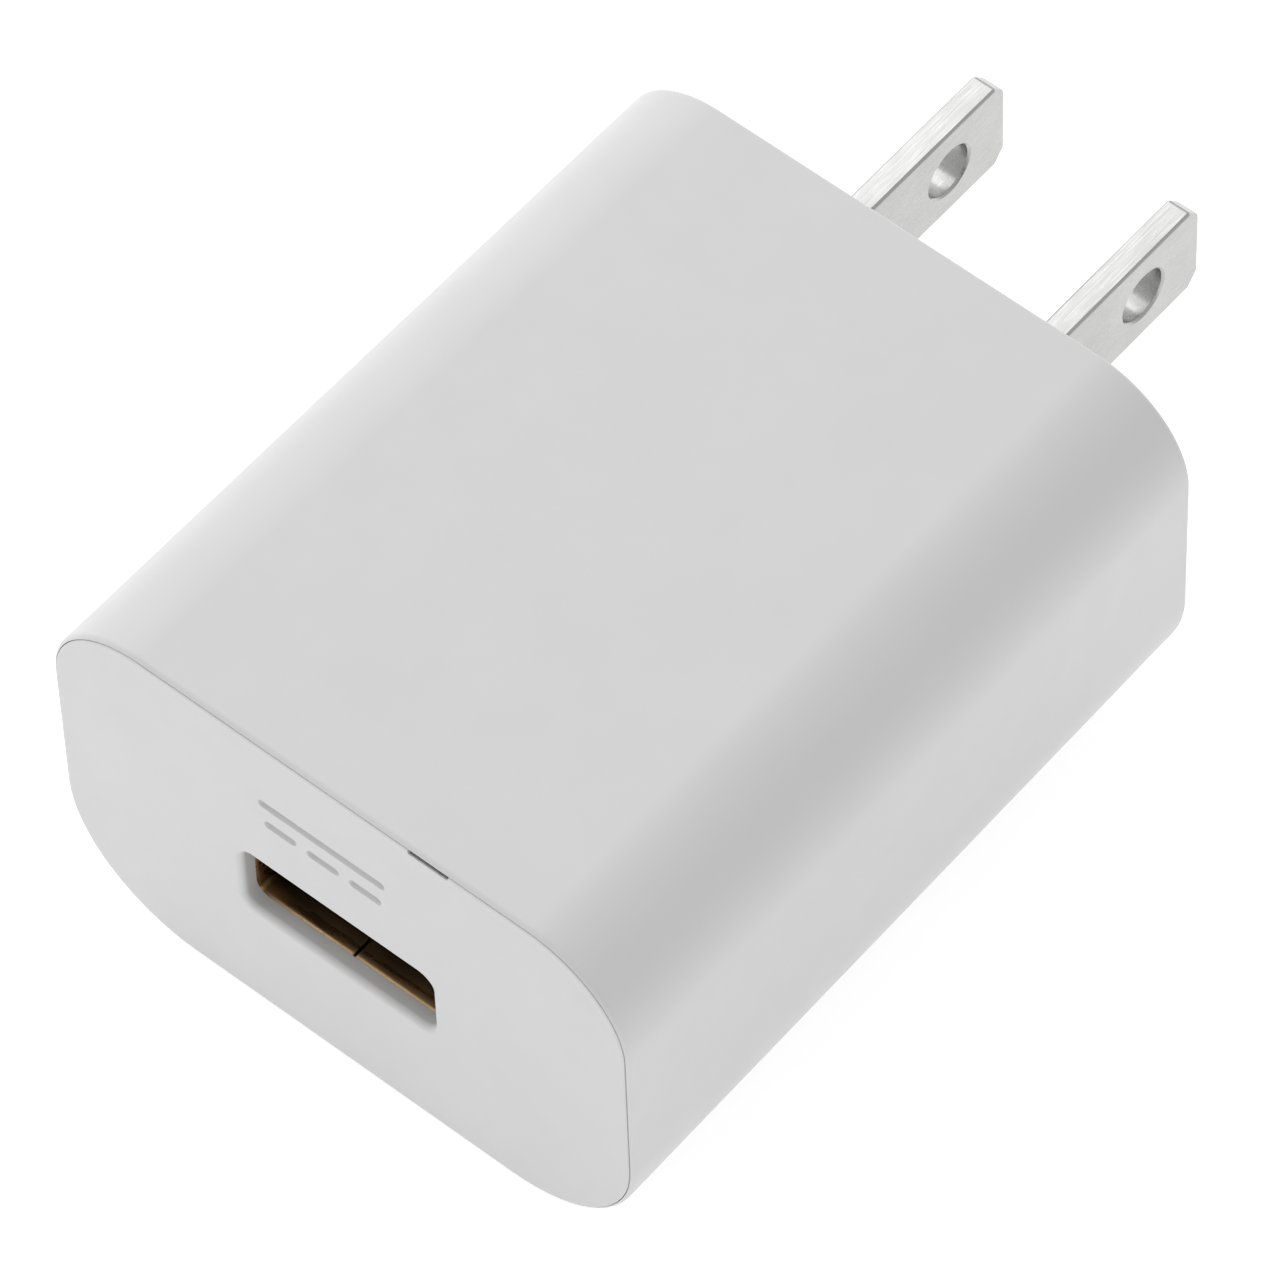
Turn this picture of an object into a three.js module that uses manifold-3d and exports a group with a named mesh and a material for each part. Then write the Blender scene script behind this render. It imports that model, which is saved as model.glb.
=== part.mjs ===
// USB wall charger with two fixed flat blades and one USB-A port.
// Millimetres, +Z up. The origin is the middle of the plug face, +Y points out along the blades,
// and the USB face is at the -Y end.

import * as THREE from 'three';
import { mergeVertices } from 'three/addons/utils/BufferGeometryUtils.js';
import Module from 'manifold-3d';

const wasm = await Module();
wasm.setup();

// ---------------------------------------------------------------- driving dimensions

// Body
const bodyWidth = 37;
const bodyHeight = 23.8;
const bodyLength = 44;
const topCornerRadius = 6.1;
const bottomCornerRadius = 8;
const draftAcross = 0.6; // width lost between the USB face and the plug face
const wall = 2;
const plugWall = 2.2;
const rimThickness = 0.4;
const capThickness = 1.6;
const capFit = 0.15; // gap between the cap and the housing
const skirtThickness = 1.2;
const skirtLength = 3.8;
const latchSlitStart = 4.9;
const latchSlitWidth = 3;
const latchSlitDepth = 0.35;

// Blades: the North American two-blade plug
const bladePitch = 12.7;
const bladeWidth = 6.3;
const bladeThickness = 1.5;
const bladeReach = 14.8; // outside the plug face
const bladeHoleRadius = 1.6;
const bladeHoleFromTip = 4.5;
const bladeTipChamfer = 1;
const bladeZ = 1.55;
const bladeTailLength = 5.2; // inside the plug wall
const bladeTailWidth = 4.2;
const bladeFit = 0.15;
const carrierWidth = 22;
const carrierHeight = 10;
const carrierDepth = 4;
const leadSheet = 0.4;
const leadWidth = 2.6;
const leadOverlap = 0.6; // lead and blade tail side by side along Y
const leadRise = 1.6; // lead top above the blade's centre line
const leadFoot = 1;
const leadHoleRadius = 0.7;

// USB-A receptacle: inner mouth 12.5 by 5.12 in 0.3 sheet
const portX = -0.4;
const portZ = -1.3;
const apertureWidth = 12.4;
const apertureHeight = 4.7;
const apertureRadius = 0.85;
const portInnerWidth = 12.5;
const portInnerHeight = 5.12;
const sheet = 0.3;
const shellInset = 1.1; // shell edge behind the USB face
const shellLength = 13.5;
const shellPocketFit = 0.3;
const shellSeam = 0.2;
const tongueWidth = 11.1;
const tongueThickness = 1.84;
const tongueTopGap = 0.65;
const tongueInset = 2.2; // tongue edge behind the shell edge
const insulatorDepth = 4;
const contactOffsets = [-3.5, -1, 1, 3.5];
const contactWidth = 1;
const contactSheet = 0.25;
const contactArmLength = 5.6;
const contactBulge = 0.75;
const contactGroove = 0.9;
const latchOffset = 3.2;
const latchWidth = 1.6;
const latchLength = 4.1;
const latchDip = 0.37;
const latchInset = 1.2; // latch window behind the shell edge
const legWidth = 1.2;
const legPlaces = [7.2, 10.8]; // behind the shell edge
const windowMargin = 0.25;

// Board
const boardTop = -4.4;
const boardThickness = 1.2;
const boardWidth = 31.2;
const boardFront = -38;
const boardBack = -7.6;
const railThickness = 0.9;
const railReach = 0.8;

// Shared small values
const fit = 0.15; // gap between neighbouring inner pieces
const pinRadius = 0.35;
const pinStub = 1.3; // pin left standing under the board
const overrun = 1; // how far a cutting solid passes the face that it opens

// ---------------------------------------------------------------- derived places

const faceY = -bodyLength;
const shellFront = faceY + shellInset;
const shellBack = shellFront + shellLength;
const shellOuterWidth = portInnerWidth + 2 * sheet;
const shellOuterHeight = portInnerHeight + 2 * sheet;
const tongueTop = portZ + portInnerHeight / 2 - tongueTopGap;
const tongueBottom = tongueTop - tongueThickness;
const tongueFront = shellFront + tongueInset;
const insulatorBack = shellBack - 0.1;
const insulatorFront = insulatorBack - insulatorDepth;
const grooveRoof = tongueBottom + contactGroove;
const contactTop = grooveRoof - 0.45;
const contactRoot = insulatorFront - 0.8;
const tailDropY = shellBack + 0.4;
const boardBottom = boardTop - boardThickness;
const boardSeat = boardTop + fit;
const underSeat = boardBottom - fit;

// ---------------------------------------------------------------- materials

function material(color, roughness, metalness = 0) {
  return new THREE.MeshStandardMaterial({ color, roughness, metalness });
}

const whitePlastic = material(0xdcdcda, 0.38);
const nickelPlate = material(0xd2d0cb, 0.28, 1);
const tinnedSteel = material(0xa8956c, 0.35, 1);
const goldPlate = material(0xd7ac55, 0.25, 1);
const blackPlastic = material(0x1b1b1d, 0.5);
const boardGreen = material(0x1f5a35, 0.55);
const ferrite = material(0x3a3b3d, 0.75);
const bobbinPlastic = material(0x262422, 0.6);
const copper = material(0xb06a35, 0.35, 1);
const yellowTape = material(0xe3c23a, 0.45);
const tinPlate = material(0xbfc2c4, 0.35, 1);
const canSleeve = material(0x20242b, 0.4);
const rubberBung = material(0x151515, 0.8);
const ceramicBlue = material(0x2f6fae, 0.45);
const resistorCoat = material(0x7fb08e, 0.6);
const clearFilm = material(0xe9e6d8, 0.3);

// ---------------------------------------------------------------- solid helpers

function toSolid(geometry) {
  const bare = geometry.clone();
  bare.deleteAttribute('normal');
  bare.deleteAttribute('uv');
  const merged = mergeVertices(bare, 1e-4);
  const mesh = new wasm.Mesh({
    numProp: 3,
    vertProperties: merged.attributes.position.array,
    triVerts: new Uint32Array(merged.index.array),
  });
  return new wasm.Manifold(mesh);
}

function toGeometry(solid) {
  const mesh = solid.getMesh();
  const geometry = new THREE.BufferGeometry();
  geometry.setAttribute('position', new THREE.BufferAttribute(mesh.vertProperties, 3));
  geometry.setIndex(new THREE.BufferAttribute(mesh.triVerts, 1));
  geometry.computeVertexNormals();
  return geometry;
}

function cut(base, tools) {
  return toGeometry(tools.reduce((solid, tool) => solid.subtract(toSolid(tool)), toSolid(base)));
}

function join(pieces) {
  const [first, ...rest] = pieces.map(toSolid);
  return toGeometry(rest.reduce((solid, piece) => solid.add(piece), first));
}

function box(width, depth, height, x, y, z) {
  return new THREE.BoxGeometry(width, depth, height).translate(x, y, z);
}

// A box given by its low and high corners.
function span(low, high) {
  const size = high.map((value, axis) => value - low[axis]);
  const middle = high.map((value, axis) => (value + low[axis]) / 2);
  return box(...size, ...middle);
}

function rod(radius, zLow, zHigh, x, y, sides = 16) {
  const height = zHigh - zLow;
  return new THREE.CylinderGeometry(radius, radius, height, sides)
    .rotateX(Math.PI / 2)
    .translate(x, y, zLow + height / 2);
}

// A turned piece on the Z axis, from [radius, z] points that start and end on the axis.
function turned(profile, sides = 32) {
  const points = profile.map(([radius, z]) => new THREE.Vector2(radius, z));
  return new THREE.LatheGeometry(points, sides).rotateX(Math.PI / 2);
}

function extruded(shape, depth, arcSteps) {
  return new THREE.ExtrudeGeometry(shape, { depth, bevelEnabled: false, curveSegments: arcSteps });
}

// A shape drawn in X and Z, running back from yHigh by length.
function alongY(shape, yHigh, length, arcSteps = 6) {
  return extruded(shape, length, arcSteps).rotateX(Math.PI / 2).translate(0, yHigh, 0);
}

// A shape drawn in Y and Z, centred on x with the given thickness.
function alongX(shape, x, thickness, arcSteps = 6) {
  const basis = new THREE.Matrix4().makeBasis(
    new THREE.Vector3(0, 1, 0), new THREE.Vector3(0, 0, 1), new THREE.Vector3(1, 0, 0),
  );
  return extruded(shape, thickness, arcSteps).applyMatrix4(basis).translate(x - thickness / 2, 0, 0);
}

function roundedRectangle(width, height, topRadius, bottomRadius, x = 0, y = 0) {
  const right = x + width / 2;
  const left = x - width / 2;
  const top = y + height / 2;
  const bottom = y - height / 2;
  const shape = new THREE.Shape();
  shape.moveTo(left + bottomRadius, bottom);
  shape.absarc(right - bottomRadius, bottom + bottomRadius, bottomRadius, -Math.PI / 2, 0, false);
  shape.absarc(right - topRadius, top - topRadius, topRadius, 0, Math.PI / 2, false);
  shape.absarc(left + topRadius, top - topRadius, topRadius, Math.PI / 2, Math.PI, false);
  shape.absarc(left + bottomRadius, bottom + bottomRadius, bottomRadius, Math.PI, 1.5 * Math.PI, false);
  return shape;
}

function polygon(points) {
  return new THREE.Shape(points.map(([a, b]) => new THREE.Vector2(a, b)));
}

// ---------------------------------------------------------------- assembly helpers

const group = new THREE.Group();

function addPart(name, geometry, partMaterial, parent = group) {
  const mesh = new THREE.Mesh(geometry, partMaterial);
  mesh.name = name;
  parent.add(mesh);
  return mesh;
}

function placedGroup(x, y, z) {
  const placed = new THREE.Group();
  placed.position.set(x, y, z);
  group.add(placed);
  return placed;
}

// ---------------------------------------------------------------- housing and cap

function bodyOutline(inset) {
  return roundedRectangle(
    bodyWidth - 2 * inset, bodyHeight - 2 * inset, topCornerRadius - inset, bottomCornerRadius - inset,
  );
}

// Narrows a piece towards the plug face, as the moulding draft does.
function drafted(geometry) {
  const position = geometry.attributes.position;
  for (let i = 0; i < position.count; i += 1) {
    const share = (position.getY(i) - faceY) / bodyLength;
    position.setX(i, position.getX(i) * (1 - (draftAcross / bodyWidth) * share));
  }
  return geometry;
}

function boardRails() {
  const inner = boardWidth / 2 - railReach;
  const outer = bodyWidth / 2 - wall + 0.4;
  const lowSide = boardBottom - fit;
  const highSide = boardTop + fit;
  return [-1, 1].flatMap((side) => {
    const [xLow, xHigh] = side > 0 ? [inner, outer] : [-outer, -inner];
    return [
      span([xLow, boardFront, lowSide - railThickness], [xHigh, boardBack, lowSide]),
      span([xLow, boardFront, highSide], [xHigh, boardBack, highSide + railThickness]),
    ];
  });
}

function housingShell() {
  const seatDepth = capThickness + capFit;
  const outer = drafted(alongY(bodyOutline(0), 0, bodyLength, 8));
  const cavity = drafted(alongY(bodyOutline(wall), -plugWall, bodyLength, 8));
  const capSeat = drafted(alongY(bodyOutline(rimThickness), faceY + seatDepth, seatDepth + overrun, 8));
  const bladeSlots = [-1, 1].map((side) => box(
    bladeThickness + 2 * bladeFit, plugWall + 2 * overrun, bladeWidth + 2 * bladeFit,
    side * bladePitch / 2, -plugWall / 2, bladeZ,
  ));
  const slit = span(
    [latchSlitStart, faceY - overrun, bodyHeight / 2 - rimThickness - overrun],
    [latchSlitStart + latchSlitWidth, faceY + latchSlitDepth, bodyHeight / 2 - rimThickness / 3],
  );
  const cup = cut(outer, [cavity, capSeat, slit, ...bladeSlots]);
  return join([cup, ...boardRails()]);
}

function frontCap() {
  const plate = drafted(alongY(bodyOutline(rimThickness + capFit), faceY + capThickness, capThickness, 8));
  const skirtBack = faceY + capThickness + skirtLength;
  const skirt = drafted(alongY(bodyOutline(wall + capFit), skirtBack, skirtLength + 0.2, 8));
  const skirtHollow = drafted(
    alongY(bodyOutline(wall + capFit + skirtThickness), skirtBack + overrun, skirtLength + overrun, 8),
  );
  const aperture = roundedRectangle(
    apertureWidth, apertureHeight, apertureRadius, apertureRadius, portX, portZ,
  );
  const pocket = roundedRectangle(
    shellOuterWidth + 2 * shellPocketFit, shellOuterHeight + 2 * shellPocketFit, 0.8, 0.8, portX, portZ,
  );
  const pocketFloor = shellFront - 0.1;
  return cut(join([plate, cut(skirt, [skirtHollow])]), [
    alongY(aperture, faceY + capThickness + overrun, capThickness + 2 * overrun, 3),
    alongY(pocket, pocketFloor + skirtLength, skirtLength, 3),
  ]);
}

addPart('housing_shell', housingShell(), whitePlastic);
addPart('front_cap', frontCap(), whitePlastic);

// ---------------------------------------------------------------- blades and their leads

function bladeProfile() {
  const half = bladeWidth / 2;
  const tailHalf = bladeTailWidth / 2;
  const shoulder = -plugWall - carrierDepth / 2;
  const shape = polygon([
    [-plugWall - bladeTailLength, -tailHalf],
    [shoulder, -tailHalf],
    [shoulder, -half],
    [bladeReach - bladeTipChamfer, -half],
    [bladeReach, -half + bladeTipChamfer],
    [bladeReach, half - bladeTipChamfer],
    [bladeReach - bladeTipChamfer, half],
    [shoulder, half],
    [shoulder, tailHalf],
    [-plugWall - bladeTailLength, tailHalf],
  ]);
  const hole = new THREE.Path();
  hole.absarc(bladeReach - bladeHoleFromTip, 0, bladeHoleRadius, 0, 2 * Math.PI, true);
  shape.holes.push(hole);
  return shape;
}

function bladeCarrier() {
  const yHigh = -plugWall - fit;
  const block = span([-carrierWidth / 2, yHigh - carrierDepth, -carrierHeight / 2],
    [carrierWidth / 2, yHigh, carrierHeight / 2]);
  const slots = [-1, 1].map((side) => box(
    bladeThickness + 2 * bladeFit, 3 * carrierDepth, bladeWidth + 2 * bladeFit,
    side * bladePitch / 2, yHigh, 0,
  ));
  return cut(block, slots);
}

const leadOffset = bladePitch / 2 + bladeThickness / 2 + fit + leadSheet / 2;
const leadY = -plugWall - bladeTailLength + leadOverlap - leadWidth / 2;

// A strip from the blade's tail down through the board.
function bladeLead(side) {
  const x = side * leadOffset;
  const top = bladeZ + leadRise;
  const drop = box(leadSheet, leadWidth, top - boardSeat, x, leadY, (top + boardSeat) / 2);
  const foot = span([x - leadSheet / 2, leadY - leadFoot / 2, boardBottom - pinStub],
    [x + leadSheet / 2, leadY + leadFoot / 2, boardSeat + 0.2]);
  return join([drop, foot]);
}

const leadHoles = [-1, 1].map((side) => [side * leadOffset, leadY, leadHoleRadius]);

['left', 'right'].forEach((name, index) => {
  const side = index === 0 ? -1 : 1;
  const blade = alongX(bladeProfile(), 0, bladeThickness, 10);
  addPart(`blade_${name}`, blade, nickelPlate, placedGroup(side * bladePitch / 2, 0, bladeZ));
  addPart(`blade_lead_${name}`, bladeLead(side), tinPlate);
});
addPart('blade_carrier', bladeCarrier(), blackPlastic, placedGroup(0, 0, bladeZ));

// ---------------------------------------------------------------- USB-A receptacle

const shellLegs = [-1, 1].flatMap((side) => legPlaces.map((along) => ({
  x: portX + side * (shellOuterWidth / 2 - sheet / 2),
  y: shellFront + along,
})));

function latchWindow(side, level) {
  const x = portX + side * latchOffset;
  const z = portZ + level * (portInnerHeight / 2 + sheet / 2);
  const y = shellFront + latchInset + latchLength / 2 + windowMargin;
  return box(latchWidth + 2 * windowMargin, latchLength + 2 * windowMargin, 2 * sheet, x, y, z);
}

function usbShell() {
  const outerShape = roundedRectangle(shellOuterWidth, shellOuterHeight, 0.6, 0.6, portX, portZ);
  const innerShape = roundedRectangle(portInnerWidth, portInnerHeight, 0.3, 0.3, portX, portZ);
  const outer = alongY(outerShape, shellBack, shellLength, 2);
  const inner = alongY(innerShape, shellBack + overrun, shellLength + 2 * overrun, 2);
  const seam = box(shellSeam, shellLength + 2 * overrun, 2 * sheet,
    portX, (shellFront + shellBack) / 2, portZ - portInnerHeight / 2 - sheet / 2);
  const windows = [-1, 1].flatMap((side) => [-1, 1].map((level) => latchWindow(side, level)));
  const legs = shellLegs.map(({ x, y }) => span(
    [x - sheet / 2, y - legWidth / 2, boardBottom - pinStub], [x + sheet / 2, y + legWidth / 2, portZ],
  ));
  return join([cut(outer, [inner, seam, ...windows]), ...legs]);
}

function usbInsulator() {
  const block = span(
    [portX - portInnerWidth / 2 + fit, insulatorFront, portZ - portInnerHeight / 2 + fit],
    [portX + portInnerWidth / 2 - fit, insulatorBack, portZ + portInnerHeight / 2 - fit],
  );
  const tongue = span([portX - tongueWidth / 2, tongueFront, tongueBottom],
    [portX + tongueWidth / 2, insulatorFront + overrun, tongueTop]);
  const grooves = contactOffsets.map((offset) => span(
    [portX + offset - contactWidth / 2 - fit, tongueFront + 0.6, tongueBottom - 0.3],
    [portX + offset + contactWidth / 2 + fit, insulatorBack + overrun, grooveRoof],
  ));
  return cut(join([block, tongue]), grooves);
}

// The springy part of one contact: a thin arm with a smooth bulge near its free end.
function contactArm() {
  const steps = 14;
  const upper = [];
  for (let i = 0; i <= steps; i += 1) {
    const along = i / steps;
    const bulgeShare = Math.max(0, (along - 0.45) / 0.55);
    const dip = contactBulge * (1 - Math.cos(2 * Math.PI * bulgeShare)) / 2;
    upper.push([-contactArmLength * along, -dip]);
  }
  const lower = upper.map(([y, z]) => [y, z - contactSheet]).reverse();
  return alongX(polygon([...upper, ...lower]), 0, contactWidth);
}

function contactTail() {
  const start = contactRoot + 0.3;
  const end = tailDropY + contactSheet;
  const low = boardBottom - pinStub;
  return alongX(polygon([
    [start, contactTop - contactSheet],
    [tailDropY, contactTop - contactSheet],
    [tailDropY, low],
    [end, low],
    [end, contactTop],
    [start, contactTop],
  ]), 0, contactWidth * 0.8);
}

// One latch leaf, drawn for the roof of the shell: it dips towards its free end.
function latchLeaf(level) {
  const leafSheet = 0.25;
  const base = 0.02;
  const shape = polygon([
    [0, base],
    [latchLength * 0.75, base - latchDip],
    [latchLength, base - latchDip * 0.7],
    [latchLength, base - latchDip * 0.7 + leafSheet],
    [latchLength * 0.75, base - latchDip + leafSheet],
    [0, base + leafSheet],
  ]);
  const leaf = alongX(shape, 0, latchWidth);
  return level > 0 ? leaf : leaf.rotateY(Math.PI);
}

addPart('usb_shell', usbShell(), tinnedSteel);
addPart('usb_insulator', usbInsulator(), blackPlastic);
contactOffsets.forEach((offset, index) => {
  const armPlace = placedGroup(portX + offset, contactRoot, contactTop);
  addPart(`usb_contact_arm_${index + 1}`, contactArm(), goldPlate, armPlace);
  addPart(`usb_contact_tail_${index + 1}`, contactTail(), goldPlate, placedGroup(portX + offset, 0, 0));
});
[[1, -1], [1, 1], [-1, -1], [-1, 1]].forEach(([level, side], index) => {
  const place = placedGroup(
    portX + side * latchOffset,
    shellFront + latchInset + windowMargin,
    portZ + level * portInnerHeight / 2,
  );
  addPart(`usb_latch_spring_${index + 1}`, latchLeaf(level), tinnedSteel, place);
});

// ---------------------------------------------------------------- transformer

const coreWidth = 16;
const coreHeight = 12.6;
const coreDepth = 4.8;
const coreBack = 2.4;
const coreLeg = 2.2;
const coreCentreLeg = 4;
const coreGap = 0.1;
const bobbinLength = 10;
const bobbinDepth = 11;
const bobbinFlange = 0.6;
const bobbinWall = 0.5;
const bobbinRailHeight = 2.2;
const windingThickness = 1.1;
const tapeThickness = 0.2;
const transformerX = 1.7;
const transformerY = -21.5;
const transformerZ = boardSeat + coreHeight / 2 + 0.2;
const transformerPinOffsets = [-3.5, 0, 3.5];

function coreHalf(side) {
  const outer = coreWidth / 2;
  const windowDepth = outer - coreBack;
  const windowHeight = (coreHeight - 2 * coreLeg - coreCentreLeg) / 2;
  const body = box(outer - coreGap / 2, coreDepth, coreHeight, (outer + coreGap / 2) / 2, 0, 0);
  const windows = [-1, 1].map((level) => box(
    2 * windowDepth, coreDepth + overrun, windowHeight,
    0, 0, level * (coreCentreLeg + windowHeight) / 2,
  ));
  const half = cut(body, windows);
  return side > 0 ? half : half.rotateZ(Math.PI);
}

// A rectangular sleeve on the X axis around the centre leg.
function sleeve(length, innerDepth, innerHeight, thickness) {
  const outer = box(length, innerDepth + 2 * thickness, innerHeight + 2 * thickness, 0, 0, 0);
  return cut(outer, [box(length + overrun, innerDepth, innerHeight, 0, 0, 0)]);
}

const tubeInnerDepth = coreDepth + 2 * fit;
const tubeInnerHeight = coreCentreLeg + 2 * fit;
const tubeOuterDepth = tubeInnerDepth + 2 * bobbinWall;
const tubeOuterHeight = tubeInnerHeight + 2 * bobbinWall;
const windingOuterDepth = tubeOuterDepth + 2 * (fit + windingThickness);
const windingOuterHeight = tubeOuterHeight + 2 * fit + 2;

function bobbin() {
  const flangeHeight = coreHeight - 2 * coreLeg - 2 * fit;
  const hole = box(bobbinLength + overrun, tubeInnerDepth, tubeInnerHeight, 0, 0, 0);
  const tube = box(bobbinLength, tubeOuterDepth, tubeOuterHeight, 0, 0, 0);
  const flanges = [-1, 1].map((side) => box(
    bobbinFlange, bobbinDepth, flangeHeight, side * (bobbinLength - bobbinFlange) / 2, 0, 0,
  ));
  const railDepth = (bobbinDepth - coreDepth) / 2 - fit;
  const railBottom = -coreHeight / 2;
  const rails = [-1, 1].map((side) => box(
    bobbinLength, railDepth, bobbinRailHeight,
    0, side * (bobbinDepth - railDepth) / 2, railBottom + bobbinRailHeight / 2,
  ));
  const feet = [-1, 1].flatMap((end) => [-1, 1].map((side) => box(
    bobbinFlange, railDepth, coreHeight / 2 - 3,
    end * (bobbinLength - bobbinFlange) / 2, side * (bobbinDepth - railDepth) / 2, railBottom / 2 - 1.5,
  )));
  return cut(join([tube, ...flanges, ...rails, ...feet]), [hole]);
}

function winding() {
  const length = bobbinLength - 2 * bobbinFlange - 2 * fit;
  return cut(box(length, windingOuterDepth, windingOuterHeight, 0, 0, 0), [
    box(length + overrun, tubeOuterDepth + 2 * fit, tubeOuterHeight + 2 * fit, 0, 0, 0),
  ]);
}

function windingTape() {
  const length = bobbinLength - 2 * bobbinFlange - 2 * fit;
  return sleeve(length, windingOuterDepth + fit, windingOuterHeight + fit / 2, tapeThickness / 2);
}

function coreBand() {
  const height = coreHeight + fit;
  const width = coreWidth + fit;
  const outer = box(width + 2 * tapeThickness, coreDepth - 1, height + 2 * tapeThickness, 0, 0, 0);
  return cut(outer, [box(width, coreDepth, height, 0, 0, 0)]);
}

function transformerPinPlaces() {
  return [-1, 1].flatMap((side) => transformerPinOffsets.map((x) => [x, side * 4.2]));
}

function addTransformer() {
  const place = placedGroup(transformerX, transformerY, transformerZ);
  const pinTop = -coreHeight / 2 - 0.1;
  const pinLow = boardBottom - pinStub - transformerZ;
  addPart('transformer_core_left', coreHalf(-1), ferrite, place);
  addPart('transformer_core_right', coreHalf(1), ferrite, place);
  addPart('transformer_bobbin', bobbin(), bobbinPlastic, place);
  addPart('transformer_winding', winding(), copper, place);
  addPart('transformer_winding_tape', windingTape(), yellowTape, place);
  addPart('transformer_core_band', coreBand(), yellowTape, place);
  transformerPinPlaces().forEach(([x, y], index) => {
    addPart(`transformer_pin_${index + 1}`, rod(pinRadius, pinLow, pinTop, x, y), tinPlate, place);
  });
}

addTransformer();

// ---------------------------------------------------------------- capacitors

const capacitors = [
  { name: 'bulk_capacitor_1', x: -10.6, y: -23.2, radius: 4, height: 11.6 },
  { name: 'bulk_capacitor_2', x: -10.6, y: -13.6, radius: 4, height: 11.6 },
  { name: 'output_capacitor_1', x: 10.6, y: -33.2, radius: 4, height: 11.2 },
  { name: 'output_capacitor_2', x: -11.2, y: -33.2, radius: 3.15, height: 9 },
];
const capacitorLeadOffset = 1.6;

function capacitorCan(radius, height) {
  const crimp = 1.6;
  const recess = 1;
  return turned([
    [0, recess],
    [radius - 0.5, recess],
    [radius - 0.5, 0],
    [radius, 0],
    [radius, crimp],
    [radius - 0.25, crimp + 0.3],
    [radius, crimp + 0.6],
    [radius, height - 0.5],
    [radius - 0.5, height],
    [0, height],
  ]);
}

// The rubber bung and its two leads.
function capacitorBung(radius) {
  const plug = rod(radius - 0.5 - fit, 0, 1 - fit, 0, 0, 24);
  const leadLow = boardBottom - pinStub - boardSeat;
  const leads = [-1, 1].map((side) => rod(pinRadius, leadLow, 0.5, 0, side * capacitorLeadOffset));
  return join([plug, ...leads]);
}

capacitors.forEach(({ name, x, y, radius, height }) => {
  const place = placedGroup(x, y, boardSeat);
  addPart(`${name}_can`, capacitorCan(radius, height), canSleeve, place);
  addPart(`${name}_bung`, capacitorBung(radius), rubberBung, place);
});

// ---------------------------------------------------------------- other parts on the board's top

const resistorPlace = { x: 1, y: -11.6, lead: 5.2 };
const chokePlace = { x: 11.4, y: -13.6 };
const discPlace = { x: 12.6, y: -23, lead: 2.5 };

// Barrel body with bent leads, joined into one piece.
function fusibleResistor() {
  const radius = 1.5;
  const length = 8;
  const axisZ = radius + 0.3;
  const barrel = turned([
    [0, -length / 2], [radius * 0.8, -length / 2], [radius, -length / 2 + 0.6],
    [radius * 0.9, -length / 4], [radius * 0.9, length / 4],
    [radius, length / 2 - 0.6], [radius * 0.8, length / 2], [0, length / 2],
  ], 20).rotateY(Math.PI / 2).translate(0, 0, axisZ);
  const leadLow = boardBottom - pinStub - boardSeat;
  const legs = [-1, 1].flatMap((side) => {
    const { lead } = resistorPlace;
    const reach = new THREE.CylinderGeometry(pinRadius, pinRadius, lead, 12)
      .rotateZ(Math.PI / 2).translate(side * lead / 2 + side * pinRadius / 2, 0, axisZ);
    return [reach, rod(pinRadius, leadLow, axisZ + pinRadius, side * lead, 0, 12)];
  });
  return join([barrel, ...legs]);
}

function chokeCore() {
  const radius = 3;
  const height = 7;
  const flange = 0.9;
  const waist = 1.5;
  return turned([
    [0, 0], [radius, 0], [radius, flange], [waist, flange],
    [waist, height - flange], [radius, height - flange], [radius, height], [0, height],
  ], 28);
}

function chokeWinding() {
  const inner = 1.5 + fit;
  const outer = 2.75;
  return turned([
    [inner, 0.9 + fit], [outer, 0.9 + fit], [outer, 7 - 0.9 - fit], [inner, 7 - 0.9 - fit],
    [inner, 0.9 + fit],
  ], 28);
}

// Ceramic disc standing on two leads.
function yCapacitor() {
  const radius = 3.4;
  const thickness = 2.2;
  const centreZ = radius + 1.2;
  const disc = turned([
    [0, -thickness / 2], [radius * 0.7, -thickness / 2], [radius, -thickness / 4],
    [radius, thickness / 4], [radius * 0.7, thickness / 2], [0, thickness / 2],
  ], 28).rotateY(Math.PI / 2).translate(0, 0, centreZ);
  const leadLow = boardBottom - pinStub - boardSeat;
  const legs = [-1, 1].map((side) => rod(pinRadius, leadLow, centreZ, 0, side * discPlace.lead, 12));
  return join([disc, ...legs]);
}

function addTopSideParts() {
  addPart('fusible_resistor', fusibleResistor(), resistorCoat,
    placedGroup(resistorPlace.x, resistorPlace.y, boardSeat));
  const chokeGroup = placedGroup(chokePlace.x, chokePlace.y, boardSeat);
  addPart('input_choke_core', chokeCore(), ferrite, chokeGroup);
  addPart('input_choke_winding', chokeWinding(), copper, chokeGroup);
  addPart('y_capacitor', yCapacitor(), ceramicBlue, placedGroup(discPlace.x, discPlace.y, boardSeat));
}

addTopSideParts();

// ---------------------------------------------------------------- parts under the board

// Moulded package with flat leads along both long sides, hanging from the board.
function leadedPackage(length, width, height, leadCount, leadReach) {
  const leadWidth = 0.45;
  const leadSheet = 0.2;
  const pitch = length / leadCount;
  const body = box(length, width, height, 0, 0, -height / 2 - 0.1);
  const leads = [-1, 1].flatMap((side) => Array.from({ length: leadCount }, (_, index) => {
    const x = (index - (leadCount - 1) / 2) * pitch;
    const arm = box(leadWidth, leadReach, leadSheet, x, side * (width + leadReach) / 2 - side * 0.1,
      -height / 2);
    const foot = box(leadWidth, leadSheet, height / 2, x, side * (width / 2 + leadReach - 0.2),
      -height / 4);
    return [arm, foot];
  })).flat();
  return join([body, ...leads]);
}

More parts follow.
